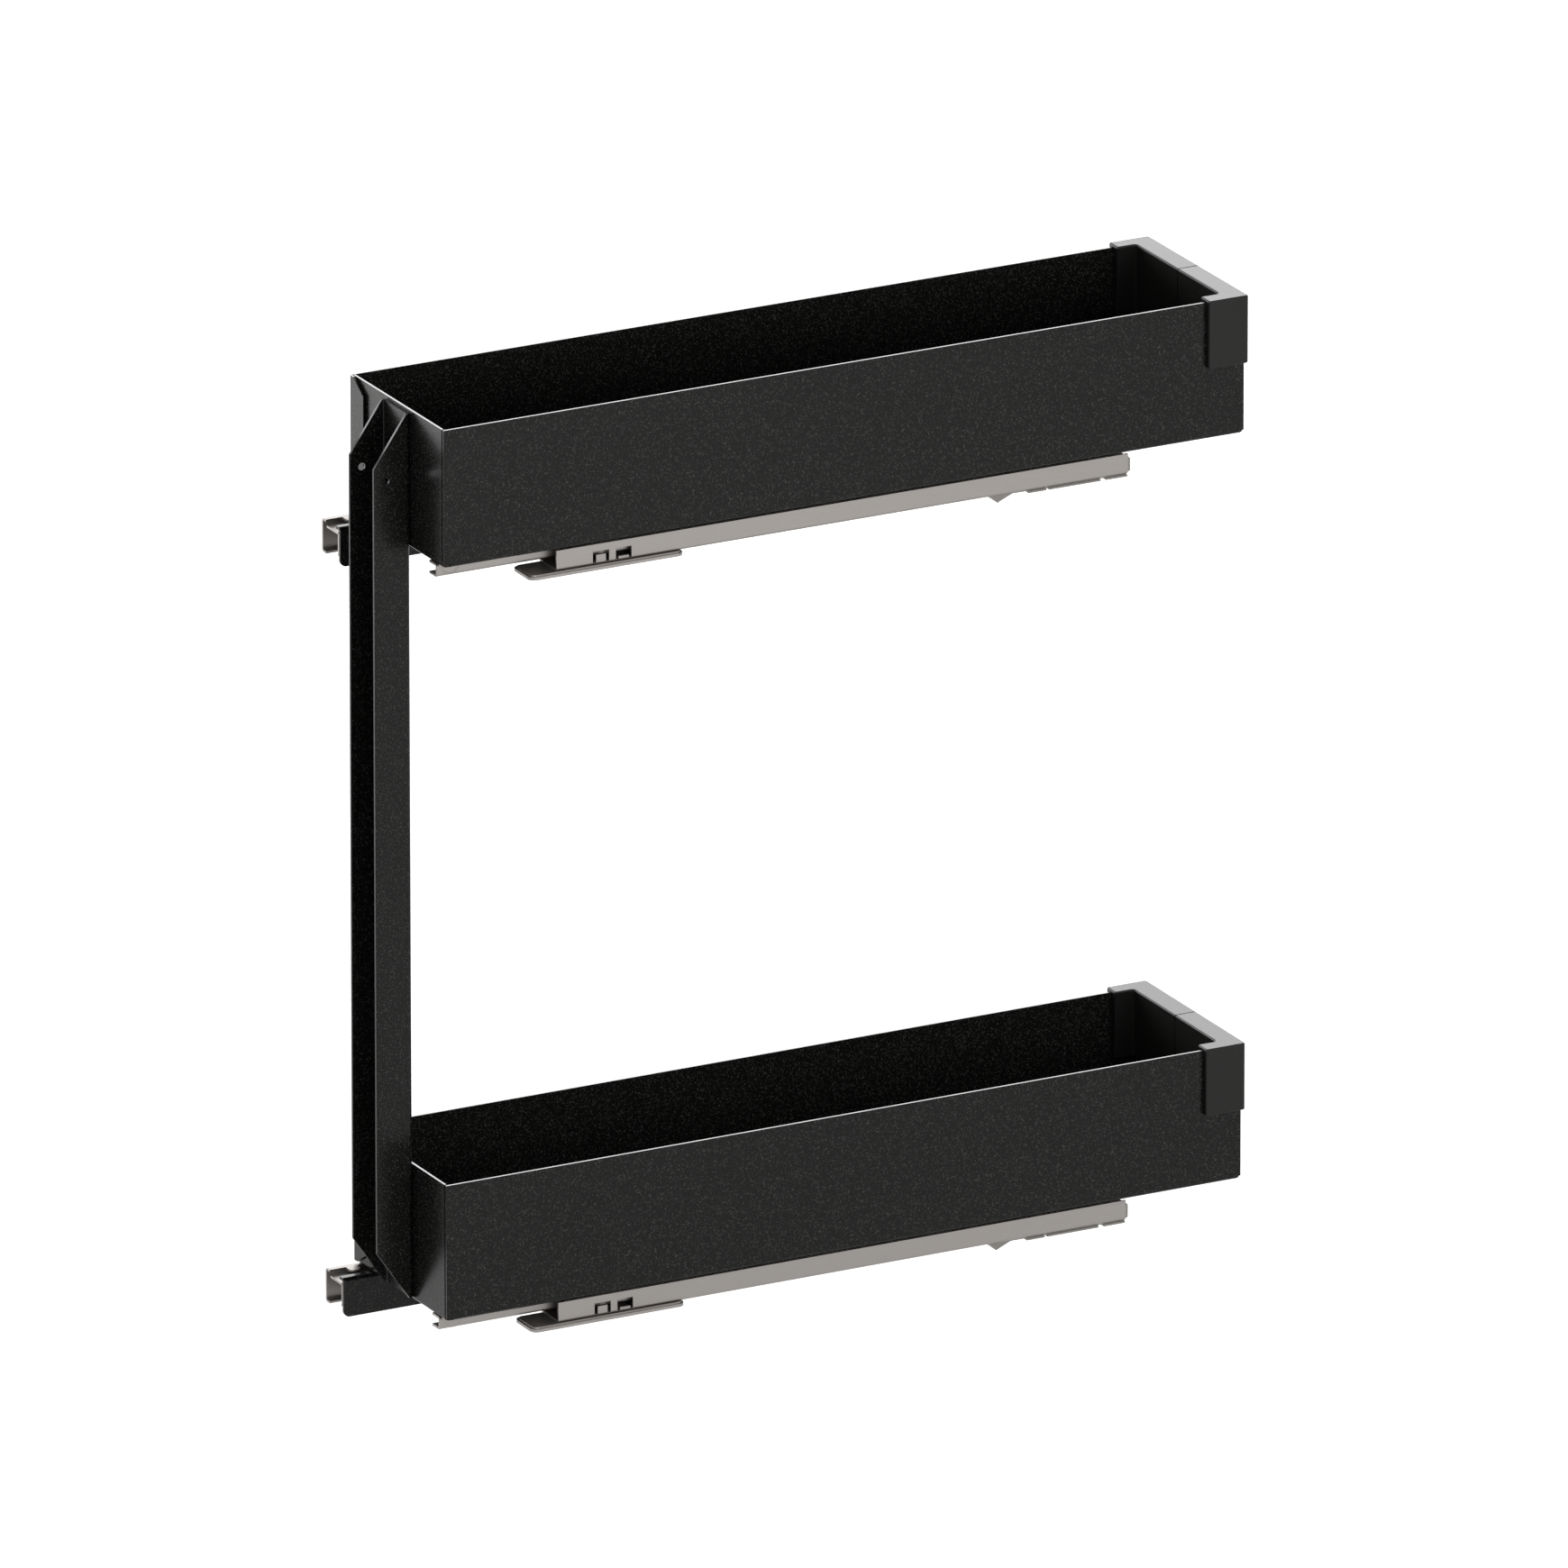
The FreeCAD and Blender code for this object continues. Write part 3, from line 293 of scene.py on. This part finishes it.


# Rear caps. Two mouldings of black ABS per tray, pushed over its rear corners, with rounded edges
# that leave a groove where they meet. Their skin is smoother than the coat, so their tops mirror more
# of the lamp behind. The faces in the groove take a darker, matt copy of the plastic: painted shade, so the
# groove looks like a dark line.
cap_round = 0.0005
half_gap = 0.0001
cap_plastic = coated("moulded_black_abs", "#1b1b1a", "#242423", 0.3, 0.22, 0.08)
groove_shade_plastic = coated("black_abs_with_painted_groove_shade", "#0b0b0b", "#0e0e0e", 0.8, 0.02, 0.08)
for level in LEVELS:
    groove_middle = (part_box("cap_near_" + level)[0].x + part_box("cap_far_" + level)[1].x) / 2
    for side in ("near", "far"):
        cap = finished("cap_%s_%s" % (side, level), "moulded_cap_%s_%s" % (side, level), cap_plastic,
                       cap_round)
        cap.data.materials.append(groove_shade_plastic)
        # Faces at the groove between the caps take the painted groove shade.
        for face in cap.data.polygons:
            if abs(face.center.x - groove_middle) < cap_round + half_gap:
                face.material_index = 1


# Runners. Roll-formed from zinc-plated strip, which is bright but slightly clouded, so that it mirrors
# softly. The rollers leave faint lines along it, finer than the ones drawn here. The far tray rail is
# riveted to a folded bracket in the trays' coat.
line_width = 0.0004
line_stretch = 0.03
cloudiness = 0.02


def plated(name, light, dark, roughness):
    """Plated strip with faint rolling lines along Y."""
    plate = bpy.data.materials.new(name)
    plate.use_nodes = True
    tree = plate.node_tree
    shader = tree.nodes["Principled BSDF"]
    place = add_node(tree, "ShaderNodeTexCoord").outputs["Object"]
    along = add_node(tree, "ShaderNodeMapping", {"Vector": place, "Scale": (1.0, line_stretch, 1.0)})
    lines = add_node(tree, "ShaderNodeTexNoise", {"Vector": along.outputs[0], "Scale": 1 / line_width,
                                                  "Detail": 3.0})
    colour = add_node(tree, "ShaderNodeMix", {"Factor": lines.outputs["Fac"], "A": linear(dark),
                                              "B": linear(light)}, data_type="RGBA")
    tree.links.new(colour.outputs["Result"], shader.inputs["Base Color"])
    rough = add_node(tree, "ShaderNodeMapRange", {"Value": lines.outputs["Fac"],
                                                  "To Min": roughness - cloudiness,
                                                  "To Max": roughness + cloudiness})
    tree.links.new(rough.outputs[0], shader.inputs["Roughness"])
    shader.inputs["Metallic"].default_value = 1.0
    return plate


zinc = plated("zinc_plated_strip", "#979390", "#8f8b88", 0.46)
for level in LEVELS:
    for part in ("near_cabinet_rail_", "near_tray_rail_", "near_middle_rail_", "near_foot_plate_",
                 "far_cabinet_rail_", "far_middle_rail_", "far_tray_rail_"):
        finished(part + level, "rolled_" + part + level, zinc, sheet_edge)
    painted("near_foot_rivet_" + level, zinc)
    finished("far_bracket_" + level, "coated_bracket_" + level, powder_coat, sheet_edge)
    painted("bracket_rivets_" + level, zinc)
    for cage in ("near_outer_cage_", "near_inner_cage_", "far_outer_cage_", "far_inner_cage_"):
        painted(cage + level, zinc)


# Plug, clip and soft-close unit. Nylon mouldings, grey and matt beside the rails that they are pressed
# into. The damper and its rod are ground steel, which mirrors more sharply than the plating.
grey_plastic = coated("moulded_grey_nylon", "#8f8b86", "#99958f", 0.45, 0.4, 0.08)
bright = plated("ground_steel", "#b4b4b4", "#a2a2a2", 0.25)
for level in LEVELS:
    for part in ("near_rear_plug_", "near_rear_clip_", "closer_housing_", "closer_catch_"):
        painted(part + level, grey_plastic)
    for part in ("closer_damper_", "closer_rod_"):
        painted(part + level, bright)


# Closing springs. Each is wound from round wire on the damper's rod, between the cylinder's end and
# the catch. On the rack it gets shorter as the catch comes forward; here it is drawn at one length, on a mesh
# of its own.
for level in LEVELS:
    spring = finished("closer_spring_" + level, "wound_spring_" + level, bright, 0)
    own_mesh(spring)
